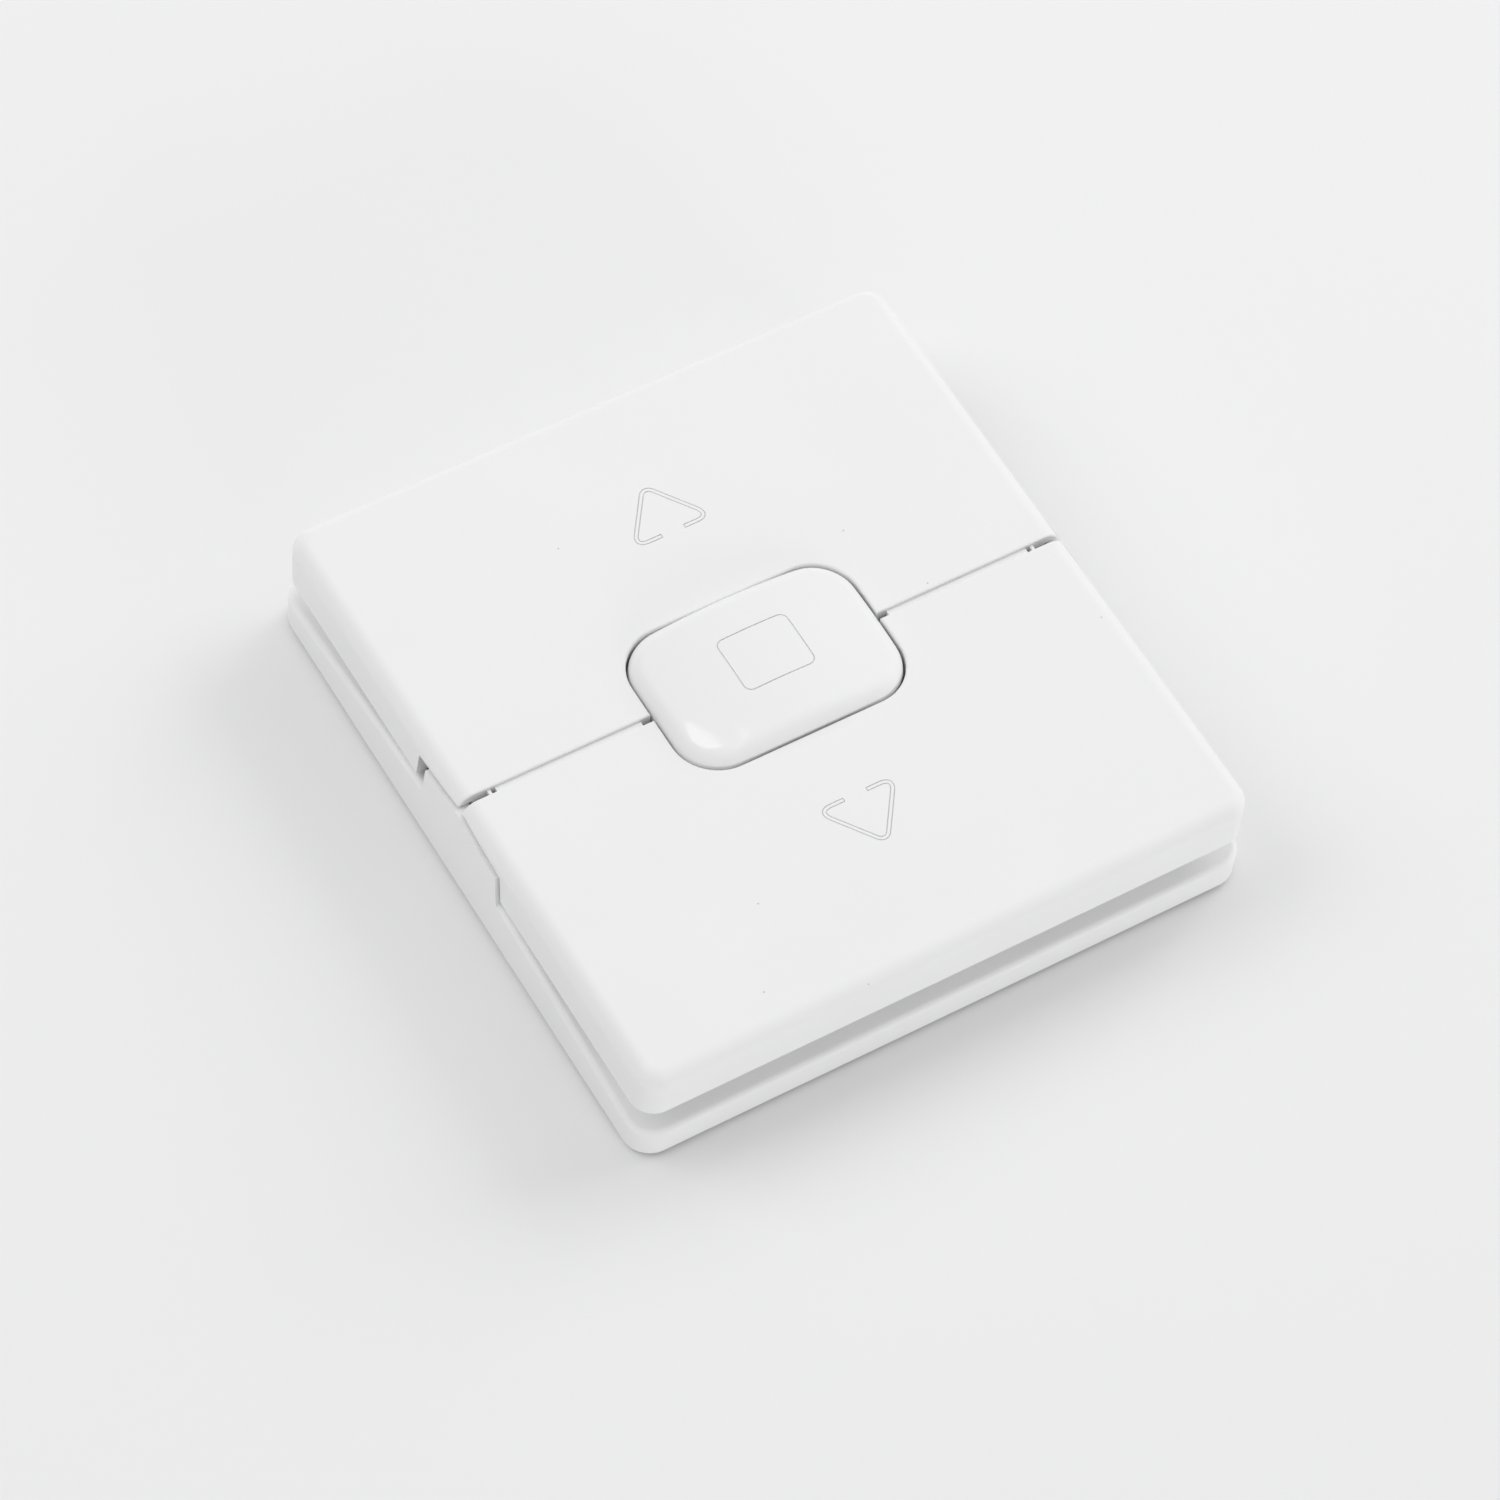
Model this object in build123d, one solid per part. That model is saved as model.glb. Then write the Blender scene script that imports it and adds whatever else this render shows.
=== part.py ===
from build123d import *
import os
from math import radians, sqrt, tan

# Surface wall switch for an awning: two rocking keys, a domed stop button and a radio board in a tray.
# Millimetres. The wall face is z = 0, +Z points into the room and +Y towards the up key.

# Keys: overall size, shell and edges
switch_width = 80.0
switch_length = 84.0
key_top = 15.9
key_gap = 0.8
key_plate = 2.0
key_wall = 1.6
skirt_depth = 7.0
key_corner_r = 3.0
key_edge_r = 2.0
key_lip_r = 0.3
key_rib_x = 30.0
key_rib_thick = 1.0
key_rib_depth = 2.5
key_rib_start = 13.0
key_rib_clear = 0.6

# Rib that hangs from each key along the gap, open beside the button, with two slits near the hinge ear
gap_rib_thick = 1.2
gap_rib_depth = 3.0
gap_rib_button_space = 2.2
gap_slit_x = 35.3
gap_slit_width = 0.6
gap_ear_slit = 0.4

# Ledge of the up key that closes the gap just below the surface
gap_ledge_drop = 0.5
gap_ledge_thick = 0.9
gap_ledge_clear = 0.15
gap_ledge_button_space = 1.3

# Base tray: walls, wedge rim, floor and the inner fence that keeps dust out under the skirts
base_margin = 0.4
side_wall = 1.9
end_ledge = 3.2
rim_lift = 0.5
rim_gap = 0.5
rim_slope = 6.3
rim_edge_r = 0.8
foot_edge_r = 0.3
floor_thick = 1.4
tray_corner_r = 1.5
fence_thick = 1.2
fence_clear = 0.6
fence_drop = 2.7

# Hinge: upstands of the base, and the stubs of the keys that turn in them
stand_down_end = 9.0
stand_up_end = 7.2
stand_draft = 0.5
stand_slope = 8.0
stand_key_edge = 1.3
stand_clear = 0.4
stand_end_gap = 0.3
pivot_y = 4.5
pivot_depth = 5.5
pivot_r = 1.2
pivot_clear = 0.05
pivot_engage = 1.0
pivot_end_clear = 0.15
ear_thick = 1.5
ear_r = 2.0
ear_gap = 0.3

# Catches that stop each key at rest
catch_x = 24.0
catch_y = 32.0
catch_width = 6.0
catch_thick = 1.4
catch_barb = 1.0
catch_hook = 1.2
catch_room = 3.0
catch_clear = 0.5
catch_play = 0.2

# Stop button
button_width = 29.6
button_length = 20.1
button_r = 5.5
button_gap = 0.25
button_crown = 2.5
button_crown_r = 70.0
button_edge_r = 2.2
button_wall = 1.6
button_stroke = 0.6
flange_width = 0.9
flange_thick = 1.0
flange_clear = 0.2
stem_r = 2.0
stem_clear = 0.08
leg_x = 9.0
leg_thick = 1.2
leg_width = 5.0
leg_barb = 0.7
leg_hook = 1.1
leg_clear = 0.3
leg_play = 0.1

# Carrier: bridge over the board that guides the stop button
carrier_head_clear = 1.4
carrier_post_r = 2.6
carrier_end = 3.0
carrier_width = 9.0
carrier_thick = 1.4
carrier_clear = 0.3
carrier_rib_clear = 0.6
carrier_step = 2.2
sleeve_wall = 1.3
sleeve_height = 1.7

# Circuit board and what is soldered to it
board_width = 48.0
board_length = 60.0
board_thick = 1.6
board_corner_r = 1.5
board_stand = 2.0
board_post_r = 2.6
board_post_inset = 3.0
board_hole_clear = 0.4
switch_size = 6.0
switch_height = 2.5
switch_corner_r = 0.5
switch_lever = 10.0
plunger_r = 1.75
plunger_rise = 0.7
plunger_depth = 1.0
plunger_clear = 0.05
plunger_end_clear = 0.1
press_clear = 0.05
boss_r = 2.0
cell_r = 10.0
cell_thick = 3.2
cell_edge_r = 0.4
cell_x = -13.5
cell_y = 17.0
contact_size = 8.0
contact_thick = 0.25
clip_width = 6.0
clip_thick = 0.3
clip_clear = 0.3
clip_foot = 1.4
radio_x = 13.0
radio_y = -17.0
radio_width = 14.0
radio_length = 16.0
radio_height = 2.5
radio_edge_r = 0.4
chip_x = -12.0
chip_y = -15.0
chip_size = 7.0
chip_height = 1.0
antenna_x = 17.0
antenna_y = 8.0
antenna_length = 16.0
antenna_rise = 2.6
antenna_wire_r = 0.4
antenna_bend_r = 1.2

# Screws inside
screw_r = 1.0
screw_head_r = 2.0
screw_head_height = 1.3
screw_grip = 2.2
screw_pilot_clear = 0.05
screw_hole_clear = 0.2
screw_end_clear = 0.4

# Wall plate and its two slots for wall screws
plate_thick = 1.6
plate_gap = 0.4
plate_corner_r = 1.5
plate_floor_clear = 0.2
wall_screw_spacing = 60.0
wall_slot_width = 4.4
wall_slot_length = 7.0
wall_screw_head_r = 3.9
hook_x = 10.0
hook_y = 34.4
hook_width = 8.0
hook_thick = 1.2
hook_barb = 0.8
hook_height = 1.2
hook_clear = 0.3
hook_play = 0.1

# Levels and places worked out from the sizes above
base_width = switch_width + 2 * base_margin
base_length = switch_length + 2 * base_margin
half_length = switch_length / 2
key_under = key_top - key_plate
skirt_low = key_top - skirt_depth
stand_inner_x = base_width / 2 - side_wall
pivot_z = key_top - pivot_depth
skirt_start = stand_down_end + stand_end_gap
ear_outer_x = stand_inner_x - ear_gap
ear_inner_x = ear_outer_x - ear_thick
rim_mid = skirt_low - rim_gap
floor_low = plate_thick + plate_floor_clear
floor_top = floor_low + floor_thick
catch_top = key_under - catch_room
fence_top = key_under - fence_drop
fence_end = base_length / 2 - end_ledge
fence_side = switch_width / 2 - key_wall - fence_clear
board_low = floor_top + board_stand
board_top = board_low + board_thick
board_post_x = board_width / 2 - board_post_inset
board_post_y = board_length / 2 - board_post_inset
switch_top = board_top + switch_height
plunger_top = switch_top + plunger_rise
switch_y = pivot_y + switch_lever
carrier_low = switch_top + carrier_clear
carrier_top = carrier_low + carrier_thick
carrier_foot = carrier_low - carrier_step
carrier_seat = carrier_foot + carrier_thick
gap_rib_start = button_width / 2 + button_gap + gap_rib_button_space
carrier_plate_end = gap_rib_start - carrier_rib_clear
carrier_post_x = carrier_plate_end + carrier_head_clear + screw_head_r
flange_low = carrier_top + button_stroke + flange_clear
crown_top = key_top + button_crown
contact_top = board_top + contact_thick
cell_top = contact_top + cell_thick
screw_hole_r = screw_r + screw_hole_clear
screw_pilot_r = screw_r + screw_pilot_clear
pilot_depth = screw_grip + screw_end_clear
stem_bore_r = stem_r + stem_clear
hook_top = floor_top + hook_play + hook_height

SIDES = (-1, 1)


def block(x0, x1, y0, y1, z0, z1):
    """Box between two corners."""
    return Pos((x0 + x1) / 2, (y0 + y1) / 2, (z0 + z1) / 2) * Box(x1 - x0, y1 - y0, z1 - z0)


def slab(width, length, corner_r, z0, z1):
    """Round-cornered plate centred on the Z axis."""
    return Pos(0, 0, z0) * extrude(RectangleRounded(width, length, corner_r), z1 - z0)


def rod(x, y, r, z0, z1):
    """Round bar along Z."""
    return Pos(x, y, (z0 + z1) / 2) * Cylinder(r, z1 - z0)


def cross_rod(y, z, r, x0, x1):
    """Round bar along X."""
    return Pos((x0 + x1) / 2, y, z) * Rot(0, 90, 0) * Cylinder(r, abs(x1 - x0))


def side_prism(points, x0, x1):
    """Side profile of (y, z) points, drawn out along X."""
    return extrude(Plane.YZ.offset(x0) * Polygon(*points, align=None), x1 - x0, dir=(1, 0, 0))


def front_prism(points, y0, y1):
    """Front profile of (x, z) points, drawn out along Y."""
    return extrude(Plane.XZ.offset(-y0) * Polygon(*points, align=None), y1 - y0, dir=(0, 1, 0))


def rim_z(y):
    """Height of the base's wedge rim at distance y from the middle."""
    return rim_mid - (y - stand_down_end) * tan(radians(rim_slope))


def key_roof(y):
    """Underside of a key's side edge where it passes over the upstand."""
    return key_top - stand_key_edge - y * tan(radians(stand_slope))


def dome_z(x):
    """Height of the stop button's crown at distance x from its centre."""
    return crown_top - button_crown_r + sqrt(button_crown_r**2 - x**2)


# Wall plate


def make_wall_plate():
    width = base_width - 2 * (side_wall + plate_gap)
    length = base_length - 2 * (side_wall + plate_gap)
    plate = slab(width, length, plate_corner_r, 0, plate_thick)
    barb_low = floor_top + hook_play
    for side in SIDES:
        slot = extrude(SlotOverall(wall_slot_length, wall_slot_width), plate_thick)
        plate -= Pos(side * wall_screw_spacing / 2, 0, 0) * slot
        hook = [
            (hook_y, 0),
            (hook_y + hook_thick, 0),
            (hook_y + hook_thick, barb_low),
            (hook_y + hook_thick + hook_barb, barb_low),
            (hook_y + hook_thick, hook_top),
            (hook_y, hook_top),
        ]
        tab = side_prism(hook, side * hook_x - hook_width / 2, side * hook_x + hook_width / 2)
        plate += tab
        plate += mirror(tab, Plane.XZ)
    return plate


# Base tray


def make_rim_half():
    """Solid wedge that fills one half of the base's outline, with its edges rounded."""
    end = base_length / 2
    profile = [(0, rim_lift), (end, rim_lift), (end, rim_z(end)), (0, rim_z(0))]
    half = side_prism(profile, -base_width / 2, base_width / 2)
    corners = half.edges().filter_by(Axis.Z).group_by(Axis.Y)[-1]
    half = fillet(corners, key_corner_r + base_margin)
    top = half.faces().sort_by(Axis.Z)[-1]
    half = fillet(top.edges().filter_by(lambda edge: edge.center().Y > rim_edge_r), rim_edge_r)
    foot = half.faces().sort_by(Axis.Z)[0]
    return fillet(foot.edges().filter_by(lambda edge: edge.center().Y > foot_edge_r), foot_edge_r)


def make_upstand():
    """Hinge upstand profile: drafted ends and a low gable that follows the keys."""
    down_foot = stand_down_end + stand_draft
    up_foot = stand_up_end + stand_draft
    return [
        (-down_foot, floor_low),
        (up_foot, floor_low),
        (up_foot, rim_mid),
        (stand_up_end, key_roof(stand_up_end) - stand_clear),
        (0, key_roof(0) - stand_clear),
        (-stand_down_end, key_roof(stand_down_end) - stand_clear),
        (-down_foot, rim_mid),
    ]


def make_catch_post():
    """Post with a barb that holds a key's catch leg down."""
    face = catch_y + catch_thick
    hook_low = catch_top - catch_hook
    profile = [
        (catch_y, floor_low),
        (face, floor_low),
        (face, hook_low),
        (face + catch_barb, hook_low),
        (face, catch_top),
        (catch_y, catch_top),
    ]
    return side_prism(profile, -catch_width / 2, catch_width / 2)


def make_fence():
    """Inner wall of the tray, open at the hinges."""
    width = 2 * fence_side
    length = 2 * fence_end
    fence = slab(width, length, tray_corner_r, floor_low, fence_top)
    inner_width = width - 2 * fence_thick
    fence -= slab(inner_width, length - 2 * fence_thick, tray_corner_r, floor_low, fence_top)
    hinge_reach = skirt_start + stand_draft
    return fence - block(-fence_side, fence_side, -hinge_reach, hinge_reach, floor_low, fence_top)


def make_base_frame():
    half = make_rim_half()
    base = half + mirror(half, Plane.XZ)
    inner_width = 2 * stand_inner_x
    base -= slab(inner_width, base_length - 2 * end_ledge, tray_corner_r, floor_top, key_top)
    base -= slab(inner_width, base_length - 2 * side_wall, tray_corner_r, 0, floor_low)
    base += make_fence()
    bore_end = stand_inner_x + pivot_engage + pivot_end_clear
    window_half = (wall_slot_length - wall_slot_width) / 2 + wall_screw_head_r
    post = make_catch_post()
    for side in SIDES:
        edges = sorted((side * stand_inner_x, side * base_width / 2))
        base += side_prism(make_upstand(), *edges)
        for y in (-pivot_y, pivot_y):
            base -= cross_rod(y, pivot_z, pivot_r + pivot_clear, side * stand_inner_x, side * bore_end)
        window = slab(2 * window_half, 2 * wall_screw_head_r, tray_corner_r, floor_low, floor_top)
        base -= Pos(side * wall_screw_spacing / 2, 0, 0) * window
        base += rod(side * carrier_post_x, 0, carrier_post_r, floor_low, carrier_foot)
        base -= rod(side * carrier_post_x, 0, screw_pilot_r, carrier_foot - pilot_depth, carrier_foot)
        base += Pos(side * catch_x, 0, 0) * (post + mirror(post, Plane.XZ))
        for y in (-board_post_y, board_post_y):
            base += rod(side * board_post_x, y, board_post_r, floor_low, board_low)
            base -= rod(side * board_post_x, y, screw_pilot_r, board_low - pilot_depth, board_low)
        for end in SIDES:
            y0, y1 = sorted((end * (hook_y - hook_clear), end * (hook_y + hook_thick + hook_clear)))
            reach = hook_width / 2 + hook_clear
            base -= block(side * hook_x - reach, side * hook_x + reach, y0, y1, floor_low, floor_top)
    return base


# Keys


def make_key_shell():
    """Outer skin of the up key: rounded plate and skirts, with the button's opening."""
    skin = block(-switch_width / 2, switch_width / 2, key_gap / 2, half_length, skirt_low, key_top)
    skin = fillet(skin.edges().filter_by(Axis.Z).group_by(Axis.Y)[-1], key_corner_r)
    top = skin.faces().sort_by(Axis.Z)[-1]
    skin = fillet(top.edges().filter_by(lambda edge: edge.center().Y > key_gap), key_edge_r)
    open_width = button_width + 2 * button_gap
    open_length = button_length + 2 * button_gap
    skin -= slab(open_width, open_length, button_r + button_gap, skirt_low, key_top)
    lip_low = key_top - key_edge_r / 2
    lip_reach = open_length / 2 + key_gap
    top_edges = skin.edges().filter_by(lambda edge: edge.center().Z > lip_low)
    skin = fillet(top_edges.filter_by(lambda edge: edge.center().Y < lip_reach), key_lip_r)
    inner_r = key_corner_r - key_wall
    inner_width = switch_width - 2 * key_wall
    inner_length = 2 * (half_length - key_wall)
    hollow = slab(inner_width, inner_length, inner_r, skirt_low, key_under)
    rib_back = key_gap / 2 + gap_rib_thick
    hollow &= block(-inner_width, inner_width, rib_back, switch_length, skirt_low, key_top)
    return skin - hollow


def trim_gap_rib(key):
    """Cut the rib along the gap to its depth, and open it beside the button and near the hinge ears."""
    reach = key_gap / 2 + gap_rib_thick
    rib_end = ear_inner_x - gap_ear_slit
    key -= block(-stand_inner_x, stand_inner_x, 0, reach, skirt_low, key_under - gap_rib_depth)
    key -= block(-gap_rib_start, gap_rib_start, 0, reach, skirt_low, key_under)
    for side in SIDES:
        x0, x1 = sorted((side * rib_end, side * switch_width))
        key -= block(x0, x1, 0, reach, skirt_low, key_under)
        x0, x1 = sorted((side * gap_slit_x, side * (gap_slit_x + gap_slit_width)))
        key -= block(x0, x1, 0, reach, skirt_low, key_under)
    return key


def add_gap_ledge(key):
    """Add the ledge that closes the gap just below the surface, open where the rib is slit."""
    tip = gap_ledge_clear - key_gap / 2
    root = key_gap / 2 + gap_rib_thick
    ledge_top = key_top - gap_ledge_drop
    ledge_low = ledge_top - gap_ledge_thick
    ledge_start = button_width / 2 + button_gap + gap_ledge_button_space
    rib_end = ear_inner_x - gap_ear_slit
    for side in SIDES:
        for near, far in ((ledge_start, gap_slit_x), (gap_slit_x + gap_slit_width, rib_end)):
            x0, x1 = sorted((side * near, side * far))
            key += block(x0, x1, tip, root, ledge_low, ledge_top)
    return key


def make_hinge_bay():
    """Space that the upstand takes out of a key's side, with the same draft and gable."""
    return [
        (0, skirt_low),
        (skirt_start + stand_draft, skirt_low),
        (skirt_start, key_roof(skirt_start)),
        (0, key_roof(0)),
    ]


def make_catch_leg():
    """Leg of a key that hooks under the base's catch post."""
    face = catch_y + catch_thick + catch_barb + catch_clear
    hook_top_z = catch_top - catch_hook - catch_play
    leg_low = hook_top_z - catch_hook
    profile = [
        (face, key_under),
        (face, hook_top_z),
        (face - catch_barb, hook_top_z),
        (face, leg_low),
        (face + catch_thick, leg_low),
        (face + catch_thick, key_under),
    ]
    return side_prism(profile, -catch_width / 2, catch_width / 2)


def make_switch_boss():
    """Round-nosed boss that bears on a switch plunger."""
    nose = plunger_top + press_clear + boss_r
    return rod(0, switch_y, boss_r, nose, key_under) + Pos(0, switch_y, nose) * Sphere(boss_r)


def make_key():
    key = trim_gap_rib(make_key_shell())
    bay_x = stand_inner_x - stand_clear
    stub_end = stand_inner_x + pivot_engage
    rib_low = key_under - key_rib_depth
    leg = make_catch_leg()
    for side in SIDES:
        key -= side_prism(make_hinge_bay(), *sorted((side * bay_x, side * base_width / 2)))
        x0, x1 = sorted((side * ear_inner_x, side * ear_outer_x))
        key += block(x0, x1, key_gap / 2, pivot_y + ear_r, pivot_z, key_under)
        key += cross_rod(pivot_y, pivot_z, ear_r, x0, x1)
        key += cross_rod(pivot_y, pivot_z, pivot_r, side * ear_inner_x, side * stub_end)
        rib_x = side * key_rib_x
        rib_end = fence_end - fence_thick - key_rib_clear
        half_rib = key_rib_thick / 2
        key += block(rib_x - half_rib, rib_x + half_rib, key_rib_start, rib_end, rib_low, key_under)
        key += Pos(side * catch_x, 0, 0) * leg
    return key + make_switch_boss()


# Stop button and its carrier


def make_stop_button():
    centre = crown_top - button_crown_r
    cap = slab(button_width, button_length, button_r, flange_low, crown_top)
    cap &= Pos(0, 0, centre) * Sphere(button_crown_r)
    cap = fillet(cap.faces().sort_by(Axis.Z)[-1].edges(), button_edge_r)
    brim = flange_low + flange_thick
    cap += slab(
        button_width + 2 * flange_width,
        button_length + 2 * flange_width,
        button_r + flange_width,
        flange_low,
        brim,
    )
    room = slab(
        button_width - 2 * button_wall,
        button_length - 2 * button_wall,
        button_r - button_wall,
        flange_low,
        crown_top,
    )
    cap -= room & Pos(0, 0, centre) * Sphere(button_crown_r - button_wall)
    cap += rod(0, 0, stem_r, plunger_top + press_clear, crown_top - button_wall / 2)
    barb_top = carrier_low - leg_play
    barb_low = barb_top - leg_hook
    leg_outer = leg_x + leg_thick / 2
    leg = [
        (leg_x - leg_thick / 2, barb_low),
        (leg_outer, barb_low),
        (leg_outer + leg_barb, barb_top),
        (leg_outer, barb_top),
        (leg_outer, dome_z(leg_x) - button_wall / 2),
        (leg_x - leg_thick / 2, dome_z(leg_x) - button_wall / 2),
    ]
    arm = front_prism(leg, -leg_width / 2, leg_width / 2)
    return cap + arm + mirror(arm, Plane.YZ)


def make_button_carrier():
    """Bridge over the board: a raised plate with a sleeve for the stem, and a low foot at each end."""
    half_width = carrier_width / 2
    riser = carrier_plate_end - carrier_thick
    foot_end = carrier_post_x + carrier_end
    carrier = block(-carrier_plate_end, carrier_plate_end, -half_width, half_width, carrier_low, carrier_top)
    for side in SIDES:
        x0, x1 = sorted((side * riser, side * carrier_plate_end))
        carrier += block(x0, x1, -half_width, half_width, carrier_foot, carrier_top)
        x0, x1 = sorted((side * riser, side * foot_end))
        carrier += block(x0, x1, -half_width, half_width, carrier_foot, carrier_seat)
    carrier += rod(0, 0, stem_bore_r + sleeve_wall, carrier_low, carrier_top + sleeve_height)
    carrier -= rod(0, 0, stem_bore_r, carrier_low, carrier_top + sleeve_height)
    slot_x = leg_thick / 2 + leg_clear
    slot_y = leg_width / 2 + leg_clear
    leg_slot = block(-slot_x, slot_x, -slot_y, slot_y, carrier_low, carrier_top)
    for side in SIDES:
        carrier -= Pos(side * leg_x, 0, 0) * leg_slot
        carrier -= rod(side * carrier_post_x, 0, screw_hole_r, carrier_foot, carrier_seat)
    return carrier


# Circuit board, switches and battery


def make_circuit_board():
    board = slab(board_width, board_length, board_corner_r, board_low, board_top)
    for side in SIDES:
        board -= rod(side * carrier_post_x, 0, carrier_post_r + board_hole_clear, board_low, board_top)
        for y in (-board_post_y, board_post_y):
            board -= rod(side * board_post_x, y, screw_hole_r, board_low, board_top)
    return board


def make_switch_body(y):
    body = slab(switch_size, switch_size, switch_corner_r, board_top, switch_top)
    well = switch_top - plunger_depth - button_stroke - plunger_end_clear
    body -= rod(0, 0, plunger_r + plunger_clear, well, switch_top)
    return Pos(0, y, 0) * body


def make_plunger(y):
    return rod(0, y, plunger_r, switch_top - plunger_depth, plunger_top)


def make_coin_cell():
    cell = rod(cell_x, cell_y, cell_r, contact_top, cell_top)
    return fillet(cell.edges().filter_by(GeomType.CIRCLE), cell_edge_r)


def make_cell_contact():
    return Pos(cell_x, cell_y, 0) * slab(contact_size, contact_size, contact_thick, board_top, contact_top)


def make_cell_clip():
    """Strap over the cell with a foot at each end on the board."""
    inner = cell_r + clip_clear
    outer = inner + clip_thick
    toe = outer + clip_foot
    foot_top = board_top + clip_thick
    strap_top = cell_top + clip_thick
    profile = [
        (-toe, board_top),
        (-inner, board_top),
        (-inner, cell_top),
        (inner, cell_top),
        (inner, board_top),
        (toe, board_top),
        (toe, foot_top),
        (outer, foot_top),
        (outer, strap_top),
        (-outer, strap_top),
        (-outer, foot_top),
        (-toe, foot_top),
    ]
    return Pos(cell_x, cell_y, 0) * side_prism(profile, -clip_width / 2, clip_width / 2)


def make_radio_module():
    can = slab(radio_width, radio_length, radio_edge_r, board_top, board_top + radio_height)
    can = fillet(can.faces().sort_by(Axis.Z)[-1].edges(), radio_edge_r / 2)
    return Pos(radio_x, radio_y, 0) * can


def make_controller_chip():
    top = board_top + chip_height
    return block(
        chip_x - chip_size / 2,
        chip_x + chip_size / 2,
        chip_y - chip_size / 2,
        chip_y + chip_size / 2,
        board_top,
        top,
    )


def make_antenna_loop():
    """Wire loop that stands on the board on its two ends."""
    rise = board_top + antenna_rise
    far = antenna_y + antenna_length
    route = FilletPolyline(
        (antenna_x, antenna_y, board_top),
        (antenna_x, antenna_y, rise),
        (antenna_x, far, rise),
        (antenna_x, far, board_top),
        radius=antenna_bend_r,
    )
    start = Plane(origin=route @ 0, z_dir=route % 0)
    return sweep(start * Circle(antenna_wire_r), path=route)


def make_screw(x, y, seat, depth):
    """Pan head screw whose head sits at height seat."""
    shank = rod(x, y, screw_r, seat - depth, seat)
    head = rod(x, y, screw_head_r, seat, seat + screw_head_height)
    return shank + fillet(head.edges().group_by(Axis.Z)[-1], screw_head_height / 2)


def make_board_screws():
    group = Part()
    for side in SIDES:
        for y in (-board_post_y, board_post_y):
            group += make_screw(side * board_post_x, y, board_top, board_thick + screw_grip)
    return group


def make_carrier_screws():
    group = Part()
    for side in SIDES:
        group += make_screw(side * carrier_post_x, 0, carrier_seat, carrier_thick + screw_grip)
    return group


key = make_key()
nodes = {
    "wall_plate": make_wall_plate(),
    "base_frame": make_base_frame(),
    "up_key": add_gap_ledge(key),
    "down_key": mirror(key, Plane.XZ),
    "stop_button": make_stop_button(),
    "button_carrier": make_button_carrier(),
    "circuit_board": make_circuit_board(),
    "up_switch": make_switch_body(switch_y),
    "down_switch": make_switch_body(-switch_y),
    "stop_switch": make_switch_body(0),
    "up_plunger": make_plunger(switch_y),
    "down_plunger": make_plunger(-switch_y),
    "stop_plunger": make_plunger(0),
    "coin_cell": make_coin_cell(),
    "cell_clip": make_cell_clip(),
    "cell_contact": make_cell_contact(),
    "radio_module": make_radio_module(),
    "controller_chip": make_controller_chip(),
    "antenna_loop": make_antenna_loop(),
    "board_screws": make_board_screws(),
    "carrier_screws": make_carrier_screws(),
}

os.makedirs("parts", exist_ok=True)
for name, solid in nodes.items():
    export_step(solid, f"parts/{name}.step")
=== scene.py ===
"""Finishes, engraved signs and studio stage of an awning switch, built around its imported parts."""

from math import cos, radians, sin, sqrt, tan

import bmesh
import bpy
from bpy.props import FloatProperty, FloatVectorProperty, PointerProperty
from mathutils import Matrix, Quaternion, Vector


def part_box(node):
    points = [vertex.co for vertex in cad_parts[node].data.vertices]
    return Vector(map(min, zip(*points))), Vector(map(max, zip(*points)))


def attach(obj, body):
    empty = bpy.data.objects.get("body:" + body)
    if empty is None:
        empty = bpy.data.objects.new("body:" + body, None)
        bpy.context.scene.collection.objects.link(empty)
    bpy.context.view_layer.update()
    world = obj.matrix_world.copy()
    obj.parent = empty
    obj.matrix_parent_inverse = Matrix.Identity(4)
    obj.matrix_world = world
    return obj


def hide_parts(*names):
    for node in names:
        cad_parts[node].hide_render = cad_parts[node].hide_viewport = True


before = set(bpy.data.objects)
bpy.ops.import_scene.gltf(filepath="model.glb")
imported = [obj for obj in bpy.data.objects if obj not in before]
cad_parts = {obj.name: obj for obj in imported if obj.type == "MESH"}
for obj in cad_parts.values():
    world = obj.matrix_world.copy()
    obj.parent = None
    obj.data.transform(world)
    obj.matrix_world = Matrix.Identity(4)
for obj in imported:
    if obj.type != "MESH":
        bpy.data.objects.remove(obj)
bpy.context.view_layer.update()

bl_info = {
    "name": "Awning Switch",
    "version": (1, 0, 0),
    "blender": (4, 5, 0),
    "location": "View3D > Sidebar > Awning Switch",
    "description": "Dresses a surface wall switch for an awning and sets up its studio",
    "category": "Object",
}

MM = 0.001
KEY_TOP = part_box("up_key")[1].z
BUTTON_LOW, BUTTON_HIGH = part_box("stop_button")
SWITCH_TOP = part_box("up_switch")[1].z
SIDES = (-1, 1)
X, Y = 0, 1

# Meshes
MERGE_DISTANCE = 0.0001 * MM
FLAT_ANGLE = radians(0.2)
SHARP_ANGLE = radians(32)
CORNER_STEPS = 12  # edges of a rounded corner
RIM_STEPS = 12  # rings of the button's rounded edge
STEM_STEPS = 48  # sides of the button's stem
SQUARE_CUTS = 12  # cuts on each side of the middle, which let the square follow the dome
LONG_EDGE = 4  # mesh steps from which an edge of the cap's outline is divided
UNDERSIDE_STEP = 3  # mesh steps between the cuts of the cap's hollow underside
SIGN_PLACE = 0.3  # middle of the plus sign, as a share of the cell's box
FLOOR_CELLS = 8  # faces along each side of the floor

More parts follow.
